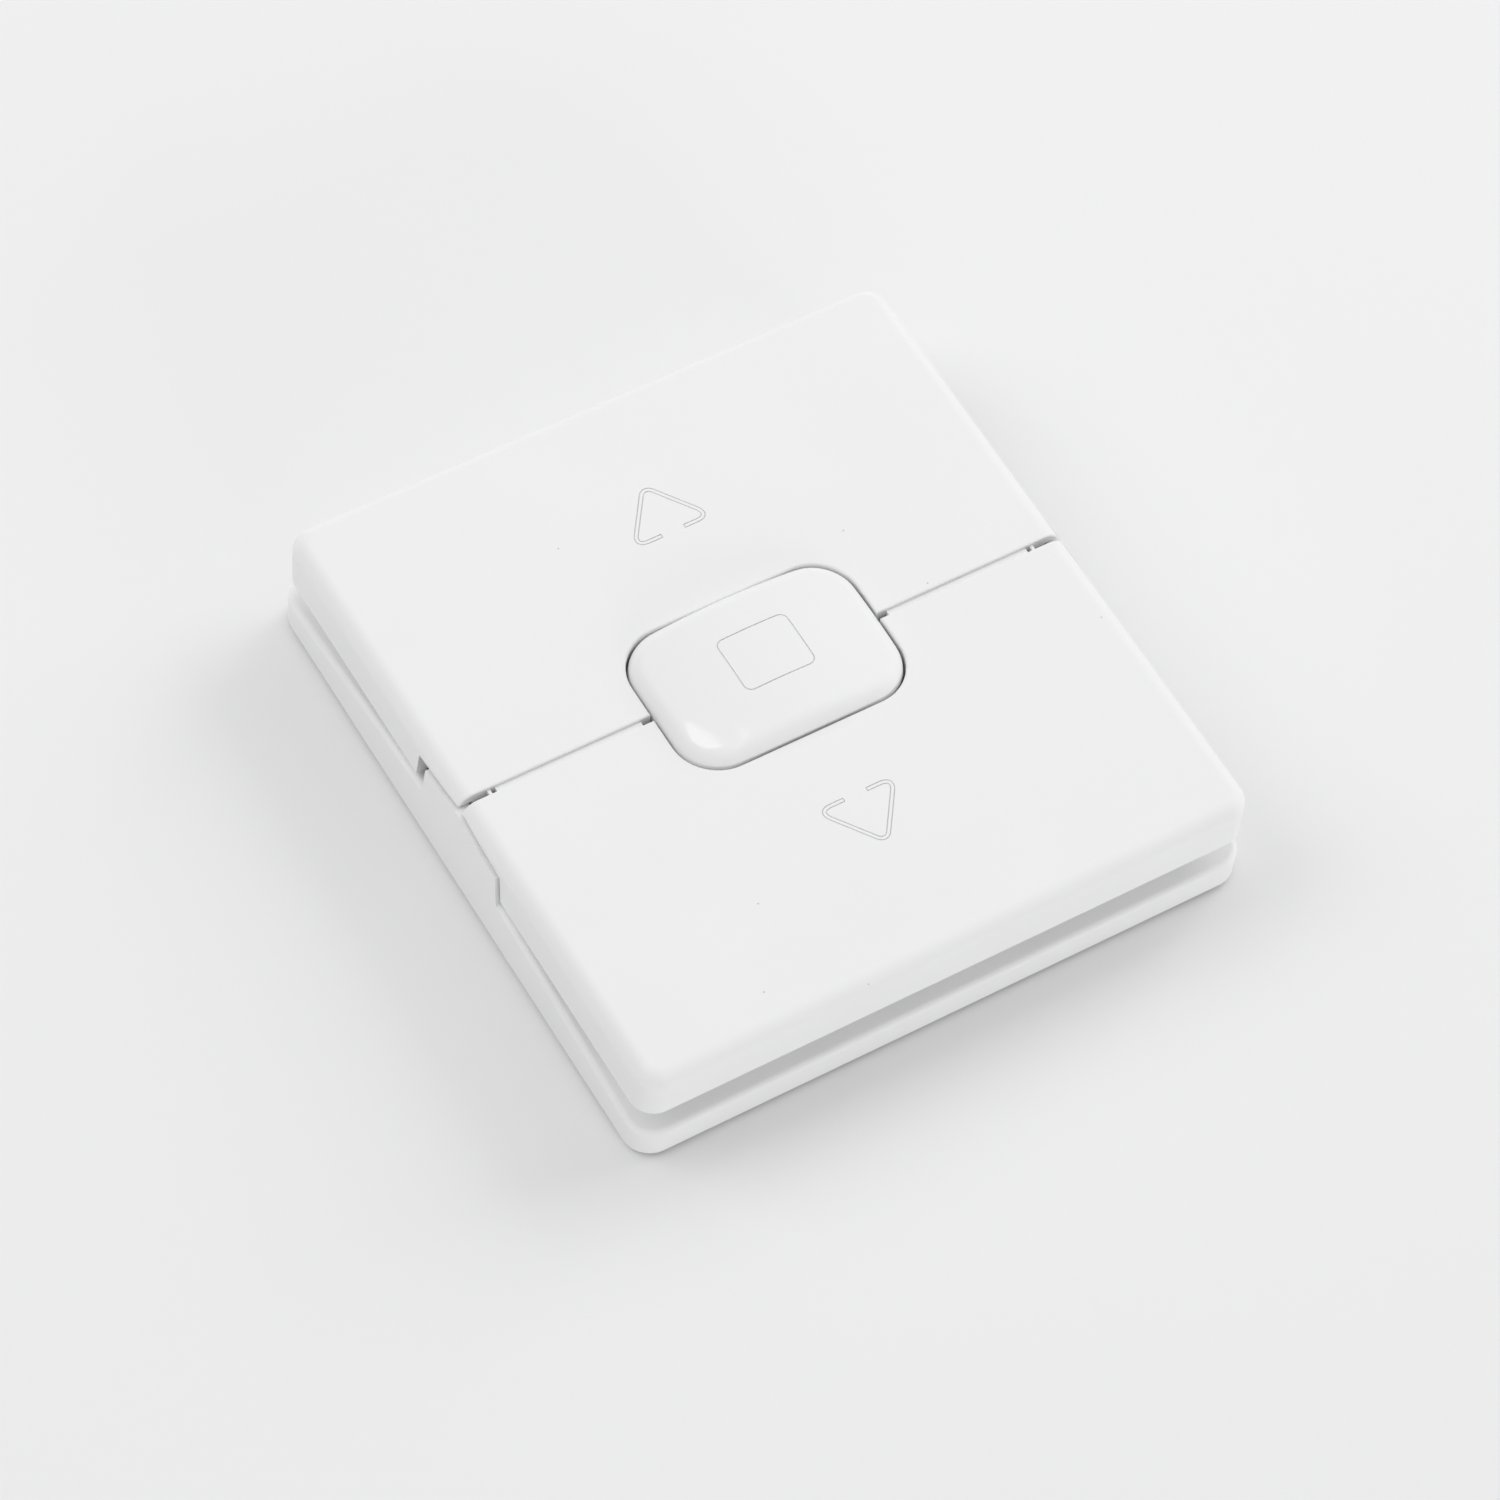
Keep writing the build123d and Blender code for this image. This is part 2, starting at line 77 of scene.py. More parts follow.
# Finishes
MIX_FACTOR, MIX_FIRST, MIX_SECOND, MIX_RESULT = 0, 6, 7, 2  # a Mix node's sockets for colours
SWITCH_COVER = 0.45 * MM  # height of the steel cover on a switch
PLATE_GRAIN, PLATE_GRAIN_DEPTH = 3, 4  # times the grain of the keys
MOULDING_DUST = (0.30, 0.29, 0.27, 1.0)
PAPER_DUST = (0.45, 0.45, 0.44, 1.0)
MASK_DARK, MASK_LIGHT = (0.006, 0.105, 0.035, 1.0), (0.010, 0.135, 0.047, 1.0)
MASKED_TRACK = (0.02, 0.18, 0.065, 1.0)
SWITCH_DARK, SWITCH_LIGHT = (0.012, 0.012, 0.013, 1.0), (0.03, 0.03, 0.031, 1.0)
COVER_STEEL = (0.62, 0.61, 0.59, 1.0)
EVEN = (1.0, 1.0, 1.0)
LINES_ALONG_X = (0.1, 1.0, 1.0)
LINES_ALONG_Y = (1.0, 0.1, 1.0)
LINES_ALONG_Z = (1.0, 1.0, 0.1)
METALS = {  # colour, roughness and direction of the brushed lines
    "clip_spring_steel": ((0.58, 0.58, 0.57), 0.32, LINES_ALONG_Y),
    "contact_brass_strip": ((0.80, 0.60, 0.27), 0.3, LINES_ALONG_Y),
    "can_tinplate": ((0.68, 0.68, 0.67), 0.3, LINES_ALONG_Y),
    "screw_zinc": ((0.60, 0.61, 0.63), 0.34, LINES_ALONG_Z),
    "cell_nickel": ((0.66, 0.65, 0.62), 0.28, LINES_ALONG_X),
}
DARK_PLASTICS = {  # colour and roughness
    "plunger_black": ((0.02, 0.02, 0.02), 0.4),
    "chip_epoxy_black": ((0.012, 0.012, 0.013), 0.5),
}

# Stage: directions as the camera sees them, lengths in metres
UP = Vector((0.0, 0.0, 1.0))
RIGHT = Vector((0.805, -0.594, 0.0))
AWAY = Vector((0.594, 0.805, 0.0))
MIDDLE = Vector((0.0, 0.0, KEY_TOP))
SENSOR_WIDTH = 36.0  # millimetres


def length(name, description, millimetres):
    """A length property whose default is given in millimetres."""
    return FloatProperty(
        name=name, description=description, default=millimetres * MM, min=0.0, unit="LENGTH", precision=5
    )


def colour(name, description, value):
    """A colour property."""
    return FloatVectorProperty(
        name=name, description=description, default=value, size=3, min=0.0, max=1.0, subtype="COLOR"
    )


def factor(name, description, value):
    """A property from 0 to 1."""
    return FloatProperty(
        name=name, description=description, default=value, min=0.0, max=1.0, subtype="FACTOR"
    )


def strength(name, description, value):
    """The strength of a light without a place."""
    return FloatProperty(name=name, description=description, default=value, min=0.0)


def watts(name, description, value):
    """A lamp's power."""
    return FloatProperty(name=name, description=description, default=value, min=0.0, subtype="POWER")


def angle(name, description, degrees):
    """An angle property whose default is given in degrees."""
    return FloatProperty(name=name, description=description, default=radians(degrees), subtype="ANGLE")


class SignSizes(bpy.types.PropertyGroup):
    """Hairline signs engraved in the keys and the stop button."""

    triangle_width: length("Triangle width", "Base of the triangle before its corners are rounded", 11.4)
    triangle_height: length("Triangle height", "Height of the triangle before its corners are rounded", 7.9)
    triangle_corner: length("Triangle corner", "Radius of the triangle's outer corners", 1.25)
    up_distance: length("Up distance", "From the middle of the switch to the up triangle's base", 21.0)
    down_distance: length("Down distance", "From the middle of the switch to the down triangle's base", 19.5)
    band_width: length("Band width", "Between the outer edges of a triangle's two hairlines", 0.58)
    band_gap: length("Band gap", "Opening in the triangle's base", 2.9)
    band_line: length("Band hairline", "Width of each hairline groove", 0.13)
    square_width: length("Square width", "Square's size along the gap", 9.35)
    square_length: length("Square length", "Square's size across the gap", 7.75)
    square_corner: length("Square corner", "Radius of the square's corners", 1.05)
    square_shift: length("Square shift", "From the button's middle to the square's, towards the up key", 0.42)
    square_line: length("Square hairline", "Width of the square's groove", 0.15)
    depth: length("Depth", "Depth of every groove", 0.18)


class ButtonSizes(bpy.types.PropertyGroup):
    """Sizes of the stop button that its box doesn't give."""

    flange: length("Flange", "Width of the dust flange round the cap", 0.9)
    flange_thick: length("Flange thickness", "Thickness of the dust flange", 1.0)
    flange_low: length("Flange height", "From the wall to the underside of the flange", 11.8)
    corner: length("Corner radius", "Radius of the cap's corners seen from the front", 5.5)
    crown: length("Crown radius", "Radius of the domed top", 70.0)
    edge: length("Edge radius", "Radius of the rounding between top and sides", 2.2)
    wall: length("Wall", "Thickness of the cap's walls", 1.6)
    stem_r: length("Stem radius", "Radius of the guide stem", 2.0)
    stem_low: length("Stem height", "From the wall to the lower end of the stem", 10.05)
    leg_x: length("Leg place", "From the middle to each snap leg", 9.0)
    leg_thick: length("Leg thickness", "Thickness of each snap leg", 1.2)
    leg_width: length("Leg width", "Width of each snap leg", 5.0)
    leg_barb: length("Leg barb", "Overhang of each leg's barb", 0.7)
    leg_hook: length("Leg hook", "Height of each leg's barb", 1.1)
    mesh_step: length("Mesh step", "Spacing of the mesh on the domed top", 0.6)


class FittingSizes(bpy.types.PropertyGroup):
    """Recesses of the screws and the sign on the coin cell."""

    head_r: length("Head radius", "Radius of the screws' heads", 2.0)
    drive_reach: length("Drive reach", "From a screw's middle to the end of its cross recess", 1.15)
    drive_width: length("Drive width", "Width of the cross recess's arms", 0.5)
    drive_depth: length("Drive depth", "Depth of the cross recess", 0.75)
    sign_reach: length("Plus reach", "From the middle of the cell's plus sign to the end of an arm", 1.6)
    sign_width: length("Plus width", "Width of the plus sign's arms", 0.6)
    sign_depth: length("Plus depth", "Depth of the stamped plus sign", 0.15)


class Finishes(bpy.types.PropertyGroup):
    """Colours and gloss of the mouldings."""

    key_white: colour("Keys", "Colour of the two keys", (0.86, 0.86, 0.865))
    button_white: colour("Button", "Colour of the stop button", (0.86, 0.86, 0.865))
    base_white: colour("Base", "Colour of the base frame and the button carrier", (0.865, 0.865, 0.87))
    plate_white: colour("Plate", "Colour of the wall plate", (0.79, 0.79, 0.785))
    key_roughness: factor("Key roughness", "Roughness of the satin mouldings", 0.46)
    button_roughness: factor("Button roughness", "Roughness of the polished button", 0.07)
    plate_roughness: factor("Plate roughness", "Roughness of the textured wall plate", 0.6)
    grain: length("Grain", "Size of the satin mouldings' grain", 0.12)
    grain_depth: length("Grain depth", "Depth of that grain", 0.004)


class StageSizes(bpy.types.PropertyGroup):
    """Camera, lamps and floor."""

    azimuth: angle("Azimuth", "Camera's turn round the switch", 36.44)
    elevation: angle("Elevation", "Camera's height as an angle", 56.54)
    roll: angle("Roll", "Camera's tilt", 7.153)
    distance: length("Distance", "From the camera to the point it looks at", 690.68)
    aim: FloatVectorProperty(
        name="Aim", description="Point of the keys' plane that the camera looks at",
        default=(-7.488 * MM, -9.054 * MM, KEY_TOP), size=3, subtype="TRANSLATION",
    )
    lens: FloatProperty(name="Lens", description="Focal length in millimetres", default=146.44, min=1.0)
    floor_size: length("Floor size", "Side of the floor", 4000.0)
    floor_white: colour("Floor", "Colour of the floor", (0.86, 0.86, 0.862))
    sky: strength("Sky", "Strength of the even light all round", 0.485)
    backdrop: strength("Backdrop", "Strength of what the camera and polished faces see all round", 0.95)
    back_power: watts("Back lamp", "Power of the wide lamp behind the switch", 3.0)
    corner_power: watts("Corner lamp", "Power of the lamp behind and at the right", 5.8)
    left_power: watts("Left lamp", "Power of the high lamp at the left", 4.6)
    low_power: watts("Low lamp", "Power of the low strip at the front", 3.9)
    window_power: watts("Window", "Power of the window that shines in the button's near corner", 0.25)
    pane_power: watts("Pane", "Power of the narrow pane beside the window", 0.07)


class Flow:
    """A socket of a node tree. Arithmetic on it adds Math nodes."""

    def __init__(self, tree, socket=None):
        self.tree = tree
        self.socket = socket

    def node(self, kind, settings, values, output=0):
        """Adds a node, sets it up, fills or links its inputs, and returns one of its outputs."""
        made = self.tree.nodes.new(kind)
        for name, value in settings.items():
            setattr(made, name, value)
        for place, value in values.items():
            if isinstance(value, Flow):
                self.tree.links.new(value.socket, made.inputs[place])
            else:
                made.inputs[place].default_value = value
        return Flow(self.tree, made.outputs[output])

    def math(self, operation, first, second):
        """Adds a Math node with two inputs."""
        return self.node("ShaderNodeMath", {"operation": operation}, {0: first, 1: second})

    def __add__(self, other):
        return self.math("ADD", self, other)

    def __radd__(self, other):
        return self.math("ADD", other, self)

    def __sub__(self, other):
        return self.math("SUBTRACT", self, other)

    def __rsub__(self, other):
        return self.math("SUBTRACT", other, self)

    def __mul__(self, other):
        return self.math("MULTIPLY", self, other)

    def __gt__(self, other):
        return self.math("GREATER_THAN", self, other)

    def __lt__(self, other):
        return self.math("LESS_THAN", self, other)

    def most(self, other):
        """The greater of two flows."""
        return self.math("MAXIMUM", self, other)

    def swing(self, amount):
        """This flow, from 0 to 1, as a swing about zero of that amount in all."""
        return (self - 0.5) * amount

    def blend(self, first, second):
        """Colour between two colours, by this flow."""
        values = {MIX_FACTOR: self, MIX_FIRST: first, MIX_SECOND: second}
        return self.node("ShaderNodeMix", {"data_type": "RGBA"}, values, MIX_RESULT)

    def tint(self, tone, darkest, lightest):
        """Colour between two shares of a tone, by this flow."""
        return self.blend(shade_of(tone, darkest), shade_of(tone, lightest))


class Finish:
    """A material in the making: its shader, its node tree and the place on the piece."""

    def __init__(self, name, **constants):
        self.material = bpy.data.materials.new(name)
        self.material.use_nodes = True
        self.tree = self.material.node_tree
        self.shader = self.tree.nodes["Principled BSDF"]
        self.start = Flow(self.tree)
        self.place = self.start.node("ShaderNodeTexCoord", {}, {}, "Object")
        for socket, value in constants.items():
            self.shader.inputs[socket.replace("_", " ")].default_value = value

    def noise(self, size, detail, stretch=EVEN):
        """Noise whose features are about that size."""
        place = self.start.node("ShaderNodeMapping", {}, {"Vector": self.place, "Scale": stretch})
        values = {"Vector": place, "Scale": 1.0 / size, "Detail": detail}
        return self.start.node("ShaderNodeTexNoise", {}, values)

    def along(self, axis):
        """Distance along X, Y or Z in metres."""
        return self.start.node("ShaderNodeSeparateXYZ", {}, {"Vector": self.place}, axis)

    def specks(self, spacing, radius, cover):
        """Mask of rare round dust specks, each of which covers that share of the colour below."""
        values = {"Vector": self.place, "Scale": 1.0 / spacing}
        gap = self.start.node("ShaderNodeTexVoronoi", {}, values, "Distance")
        return (gap < radius / spacing) * cover

    def stripes(self, axis, pitch, share):
        """Mask of even stripes that follow each other along an axis."""
        count = self.along(axis) * (1.0 / pitch)
        phase = self.start.node("ShaderNodeMath", {"operation": "FRACT"}, {0: count})
        return phase < share

    def drive(self, socket, flow):
        """Lets a flow drive one of the shader's sockets."""
        self.tree.links.new(flow.socket, self.shader.inputs[socket])

    def relief(self, height, depth):
        """Bump of that depth from a height between 0 and 1."""
        values = {"Strength": 1.0, "Distance": depth, "Height": height}
        self.drive("Normal", self.start.node("ShaderNodeBump", {}, values, "Normal"))


def shade_of(tone, share):
    """A colour scaled by a share, as a colour socket takes it."""
    return (*(min(1.0, part * share) for part in tone), 1.0)


def satin_moulding(name, tone, roughness, grain, grain_depth):
    """Satin or textured white plastic: moulded grain, faint clouding and a few dust specks."""
    finish = Finish(name, IOR=1.5, Specular_IOR_Level=0.42)
    skin = finish.noise(size=grain, detail=3.0)
    cloud = finish.noise(size=18 * MM, detail=3.0)
    body = cloud.tint(tone, darkest=0.985, lightest=1.012)
    dust = finish.specks(spacing=6.5 * MM, radius=0.11 * MM, cover=0.55)
    finish.drive("Base Color", dust.blend(body, MOULDING_DUST))
    finish.drive("Roughness", roughness + skin.swing(0.12) + cloud.swing(0.05))
    finish.relief(skin, grain_depth)
    return finish.material


def polished_moulding(name, tone, roughness):
    """Polished white plastic: a slow waviness of the mould, hardly any grain."""
    finish = Finish(name, IOR=1.52, Specular_IOR_Level=0.5)
    wave = finish.noise(size=7 * MM, detail=1.0)
    haze = finish.noise(size=1.5 * MM, detail=3.0)
    finish.drive("Base Color", wave.tint(tone, darkest=0.99, lightest=1.005))
    finish.drive("Roughness", roughness + haze.swing(0.05))
    finish.relief(wave, depth=0.006 * MM)
    return finish.material


def floor_paper(name, tone):
    """Matt white studio paper with a faint tone change and a few dust specks."""
    finish = Finish(name, Roughness=0.9, Specular_IOR_Level=0.2)
    cloud = finish.noise(size=90 * MM, detail=2.0)
    dust = finish.specks(spacing=26 * MM, radius=0.35 * MM, cover=0.12)
    body = cloud.tint(tone, darkest=0.992, lightest=1.004)
    finish.drive("Base Color", dust.blend(body, PAPER_DUST))
    return finish.material


def solder_mask(name):
    """Green circuit board: patches of straight copper tracks that show through the mask."""
    finish = Finish(name, Roughness=0.35, IOR=1.5)
    patch_size = 7 * MM
    values = {"Vector": finish.place, "Scale": 1.0 / patch_size}
    patch = finish.start.node("ShaderNodeTexVoronoi", {"distance": "CHEBYCHEV"}, values, "Color")
    chance = finish.start.node("ShaderNodeSeparateColor", {}, {"Color": patch}, "Red")
    across = chance > 0.5
    lengthways, crossways = (finish.stripes(axis, pitch=1.3 * MM, share=0.3) for axis in "XY")
    track = across * lengthways + (1.0 - across) * crossways
    weave = finish.noise(size=0.5 * MM, detail=2.0)
    finish.drive("Base Color", track.blend(weave.blend(MASK_DARK, MASK_LIGHT), MASKED_TRACK))
    finish.relief(track, depth=0.02 * MM)
    return finish.material


def brushed_metal(name):
    """Rolled or plated metal with fine brushed lines along one axis."""
    tone, roughness, lines = METALS[name]
    finish = Finish(name, Metallic=1.0)
    line = finish.noise(size=0.15 * MM, detail=3.0, stretch=lines)
    stain = finish.noise(size=3 * MM, detail=3.0)
    finish.drive("Base Color", stain.tint(tone, darkest=0.88, lightest=1.06))
    finish.drive("Roughness", roughness + line.swing(0.2))
    finish.relief(line, depth=0.003 * MM)
    return finish.material


def dark_moulding(name):
    """Dark filled plastic or epoxy with a fine mineral speckle."""
    tone, roughness = DARK_PLASTICS[name]
    finish = Finish(name, IOR=1.5)
    fleck = finish.noise(size=0.08 * MM, detail=2.0)
    finish.drive("Base Color", fleck.tint(tone, darkest=0.7, lightest=1.5))
    finish.drive("Roughness", roughness + fleck.swing(0.15))
    finish.relief(fleck, depth=0.004 * MM)
    return finish.material


def switch_housing(name):
    """Tactile switch: black body under a stamped steel cover, which is less rough."""
    finish = Finish(name, IOR=1.5)
    body_roughness, cover_polish = 0.55, 0.25
    fleck = finish.noise(size=0.1 * MM, detail=2.0)
    cover = finish.along("Z") > SWITCH_TOP - SWITCH_COVER
    finish.drive("Base Color", cover.blend(fleck.blend(SWITCH_DARK, SWITCH_LIGHT), COVER_STEEL))
    finish.drive("Metallic", cover)
    finish.drive("Roughness", body_roughness - cover * cover_polish + fleck.swing(0.1))
    return finish.material


def link_piece(name, shape):
    """Makes an object at the origin from a bmesh, which is freed."""
    mesh = bpy.data.meshes.new(name)
    shape.to_mesh(mesh)
    shape.free()
    stale = mesh.attributes.get("custom_normal")
    if stale:
        mesh.attributes.remove(stale)
    piece = bpy.data.objects.new(name, mesh)
    bpy.context.scene.collection.objects.link(piece)
    return piece


def carve(piece, shape, operation="DIFFERENCE"):
    """Cuts a closed shape out of a piece, or adds it, and keeps the result as the piece's mesh."""
    tool = link_piece("carving_tool", shape)
    change = piece.modifiers.new("carve", "BOOLEAN")
    change.operation = operation
    change.solver = "EXACT"
    change.object = tool
    graph = bpy.context.evaluated_depsgraph_get()
    carved = bpy.data.meshes.new_from_object(piece.evaluated_get(graph))
    piece.modifiers.clear()
    spent = (piece.data, tool.data)
    piece.data = carved
    bpy.data.objects.remove(tool)
    for mesh in spent:
        bpy.data.meshes.remove(mesh)


def smooth_shading(piece):
    """Rounded faces shade smoothly, and real edges stay sharp."""
    piece.data.shade_smooth()
    piece.data.set_sharp_from_angle(angle=SHARP_ANGLE)
    normals = piece.modifiers.new("even_normals", "WEIGHTED_NORMAL")
    normals.keep_sharp = True


def dress(piece, material, body, node):
    """Gives a piece its finish, lets it move with its body and stand for its CAD node."""
    piece.data.materials.clear()
    piece.data.materials.append(material)
    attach(piece, body)
    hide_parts(node)


def repaint(node, material):
    """Gives a CAD node a finish."""
    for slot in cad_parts[node].material_slots:
        slot.material = material


def shell_of(node):
    """A CAD node's mesh with its triangles joined and its flat faces made whole."""
    shape = bmesh.new()
    shape.from_mesh(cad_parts[node].data)
    bmesh.ops.remove_doubles(shape, verts=shape.verts[:], dist=MERGE_DISTANCE)
    bmesh.ops.dissolve_limit(shape, angle_limit=FLAT_ANGLE, verts=shape.verts[:], edges=shape.edges[:])
    return shape


def rounded_face(corners, radius, height=0.0):
    """A flat face through (x, y) corners, each rounded to the same radius."""
    shape = bmesh.new()
    points = [shape.verts.new((x, y, height)) for x, y in corners]
    shape.faces.new(points)
    for point in points:
        one, other = (edge.other_vert(point).co - point.co for edge in point.link_edges)
        reach = radius / tan(one.angle(other) / 2)
        bmesh.ops.bevel(
            shape, geom=[point], offset=reach, offset_type="OFFSET", affect="VERTICES",
            segments=CORNER_STEPS, profile=0.5, material=-1,
        )
    return shape


def rectangle(width, height, middle=(0.0, 0.0)):
    """Corners of a rectangle round a middle."""
    x, y = middle
    return [
        (x - width / 2, y - height / 2),
        (x + width / 2, y - height / 2),
        (x + width / 2, y + height / 2),
        (x - width / 2, y + height / 2),
    ]


def keep_border(shape, width):
    """Keeps only a border of that width along the shape's outline."""
    before = set(shape.faces)
    bmesh.ops.inset_region(
        shape, faces=shape.faces[:], thickness=width, use_even_offset=True, use_boundary=True
    )
    middle = [face for face in shape.faces if face in before]
    bmesh.ops.delete(shape, geom=middle, context="FACES")


def bisect(shape, geometry, axis, place):
    """Cuts geometry by a plane square to X or Y, and returns the faces of it that are left."""
    normal = Vector((axis == X, axis == Y, 0.0))
    cut = bmesh.ops.bisect_plane(
        shape, geom=geometry, dist=MERGE_DISTANCE, plane_co=normal * place, plane_no=normal
    )
    return [item for item in cut["geom"] if isinstance(item, bmesh.types.BMFace)]


def cut_across(shape, axis, places):
    """Cuts all of a shape by planes square to an axis."""
    for place in places:
        bisect(shape, shape.verts[:] + shape.edges[:] + shape.faces[:], axis, place)


def draw_out(shape, faces, reach):
    """Draws faces out by a vector into closed solids, and returns the new vertices."""
    out = bmesh.ops.extrude_face_region(shape, geom=faces, use_keep_orig=True)
    moved = [item for item in out["geom"] if isinstance(item, bmesh.types.BMVert)]
    bmesh.ops.translate(shape, verts=moved, vec=reach)
    return moved


def thicken(shape, reach):
    """Draws flat faces out along Z into closed solids that face outward, and returns the new vertices."""
    moved = draw_out(shape, shape.faces[:], (0.0, 0.0, reach))
    bmesh.ops.recalc_face_normals(shape, faces=shape.faces[:])
    return moved


def triangle_groove(signs, distance, side):
    """Closed solid of an open triangle's hairlines, its apex away from the switch's middle."""
    half = signs.triangle_width / 2
    top = signs.triangle_height
    shape = rounded_face([(-half, 0.0), (half, 0.0), (0.0, top)], signs.triangle_corner)
    keep_border(shape, signs.band_width)
    edge = signs.band_gap / 2
    cut_across(shape, X, (-edge, edge))
    middles = [(face, face.calc_center_median()) for face in shape.faces]
    gone = [face for face, middle in middles if abs(middle.x) < edge and middle.y < top / 2]
    bmesh.ops.delete(shape, geom=gone, context="FACES")
    keep_border(shape, signs.band_line)
    turn = Matrix.Diagonal((side, side, 1.0, 1.0))
    bmesh.ops.transform(shape, matrix=turn, verts=shape.verts[:])
    bmesh.ops.translate(shape, verts=shape.verts[:], vec=(0.0, side * distance, KEY_TOP - signs.depth))
    thicken(shape, 2 * signs.depth)
    return shape


def crown_z(x, y, top, radius):
    """Height of a domed face."""
    return top - radius + sqrt(radius**2 - x**2 - y**2)


def square_groove(signs, button):
    """Closed solid of the square's hairline, which follows the domed top."""
    middle = (0.0, signs.square_shift)
    corners = rectangle(signs.square_width, signs.square_length, middle)
    shape = rounded_face(corners, signs.square_corner)
    keep_border(shape, signs.square_line)
    steps = [button.mesh_step * count for count in range(-SQUARE_CUTS, SQUARE_CUTS + 1)]
    cut_across(shape, X, steps)
    cut_across(shape, Y, steps)
    upper = set(thicken(shape, signs.depth))
    for point in shape.verts:
        lift = signs.depth if point in upper else -signs.depth
        point.co.z = crown_z(point.co.x, point.co.y, BUTTON_HIGH.z, button.crown) + lift
    bmesh.ops.recalc_face_normals(shape, faces=shape.faces[:])
    return shape


def raised(shape, face, height):
    """Draws a face out along Z and returns it at its new height."""
    lifted = bmesh.ops.extrude_discrete_faces(shape, faces=[face])["faces"][0]
    bmesh.ops.translate(shape, verts=lifted.verts[:], vec=(0.0, 0.0, height))
    return lifted


def gridded(shape, face, step):
    """Cuts one level face into a grid and returns the grid's vertices."""
    part = [face]
    for axis in (X, Y):
        count = int(max(point.co[axis] for point in face.verts) / step)
        for place in range(-count, count + 1):
            edges = {edge for tile in part for edge in tile.edges}
            part = bisect(shape, part + list(edges), axis, place * step)
    return {point for tile in part for point in tile.verts}


def cap_z(x, y, button):
    """Height of the cap's top: a dome, and at its edge a ball rolled along wall and dome."""
    half = (BUTTON_HIGH - BUTTON_LOW) / 2
    margin = button.flange + button.corner
    spine_x = max(margin - half.x, min(half.x - margin, x))
    spine_y = max(margin - half.y, min(half.y - margin, y))
    offset = Vector((x - spine_x, y - spine_y))
    depth = max(0.0, button.corner - offset.length)
    outward = offset.normalized()
    ball = Vector((x, y)) + outward * (depth - button.edge)
    reach = button.crown - button.edge
    if depth >= button.edge * (1.0 - ball.dot(outward) / reach):
        return crown_z(x, y, BUTTON_HIGH.z, button.crown)
    ball_z = BUTTON_HIGH.z - button.crown + sqrt(reach**2 - ball.length_squared)
    return ball_z + sqrt(button.edge**2 - (button.edge - depth) ** 2)


def cap_shape(button):
    """The stop button's cap: flange, walls, domed top with a rounded edge, and a hollow underside."""
    size = BUTTON_HIGH - BUTTON_LOW
    step = button.mesh_step
    shape = rounded_face(rectangle(size.x, size.y), button.corner + button.flange, button.flange_low)
    for edge in [edge for edge in shape.edges if edge.calc_length() > LONG_EDGE * step]:
        bmesh.ops.bisect_edges(shape, edges=[edge], cuts=int(edge.calc_length() / step))
    shape.faces.ensure_lookup_table()
    top = raised(shape, shape.faces[0], button.flange_thick)
    bmesh.ops.inset_region(shape, faces=[top], thickness=button.flange, use_even_offset=True)
    brim = button.flange_low + button.flange_thick
    top = raised(shape, top, BUTTON_HIGH.z - brim)
    turns = [radians(90) * ring / RIM_STEPS for ring in range(RIM_STEPS + 1)]
    depths = [button.edge * (1.0 - cos(turn)) for turn in turns]
    for depth, further in zip(depths, depths[1:]):
        bmesh.ops.inset_region(shape, faces=[top], thickness=further - depth, use_even_offset=True)
    gridded(shape, top, step)
    for point in shape.verts:
        if point.co.z > brim + MERGE_DISTANCE:
            point.co.z = cap_z(point.co.x, point.co.y, button)
    rim = [edge for edge in shape.edges if edge.is_boundary]
    under = bmesh.ops.contextual_create(shape, geom=rim)["faces"][0]
    bmesh.ops.inset_region(
        shape, faces=[under], thickness=button.flange + button.wall, use_even_offset=True
    )
    under = raised(shape, under, button.wall)
    roof, roof_radius = BUTTON_HIGH.z - button.wall, button.crown - button.wall
    for point in gridded(shape, under, UNDERSIDE_STEP * step):
        point.co.z = crown_z(point.co.x, point.co.y, roof, roof_radius)
    bmesh.ops.recalc_face_normals(shape, faces=shape.faces[:])
    return shape


def stem_and_legs(button):
    """Guide stem and two snap legs that hang from the cap's roof."""
    shape = bmesh.new()
    roof = BUTTON_HIGH.z - button.wall / 2
    tall = roof - button.stem_low
    bmesh.ops.create_cone(
        shape, cap_ends=True, segments=STEM_STEPS,
        radius1=button.stem_r, radius2=button.stem_r, depth=tall,
        matrix=Matrix.Translation((0.0, 0.0, button.stem_low + tall / 2)),
    )
    low = BUTTON_LOW.z
    hook = low + button.leg_hook
    top = crown_z(button.leg_x, 0.0, BUTTON_HIGH.z, button.crown) - button.wall / 2
    inner = button.leg_x - button.leg_thick / 2
    outer = button.leg_x + button.leg_thick / 2
    tip = outer + button.leg_barb
    profile = ((inner, low), (outer, low), (tip, hook), (outer, hook), (outer, top), (inner, top))
    for side in SIDES:
        points = [shape.verts.new((side * x, -button.leg_width / 2, z)) for x, z in profile]
        draw_out(shape, [shape.faces.new(points)], (0.0, button.leg_width, 0.0))
    bmesh.ops.recalc_face_normals(shape, faces=shape.faces[:])
    return shape


def cross_groove(places, top, reach, width, depth):
    """Closed solids of crosses, each as deep below the top as it stands above it."""
    half = width / 2
    arm = ((half, half), (half, reach), (-half, reach))
    turns = [Matrix.Rotation(radians(90 * quarter), 2) for quarter in range(4)]
    outline = [turn @ Vector(corner) for turn in turns for corner in arm]
    shape = bmesh.new()
    for x, y in places:
        shape.faces.new([shape.verts.new((x + spot.x, y + spot.y, top - depth)) for spot in outline])
    thicken(shape, 2 * depth)
    return shape


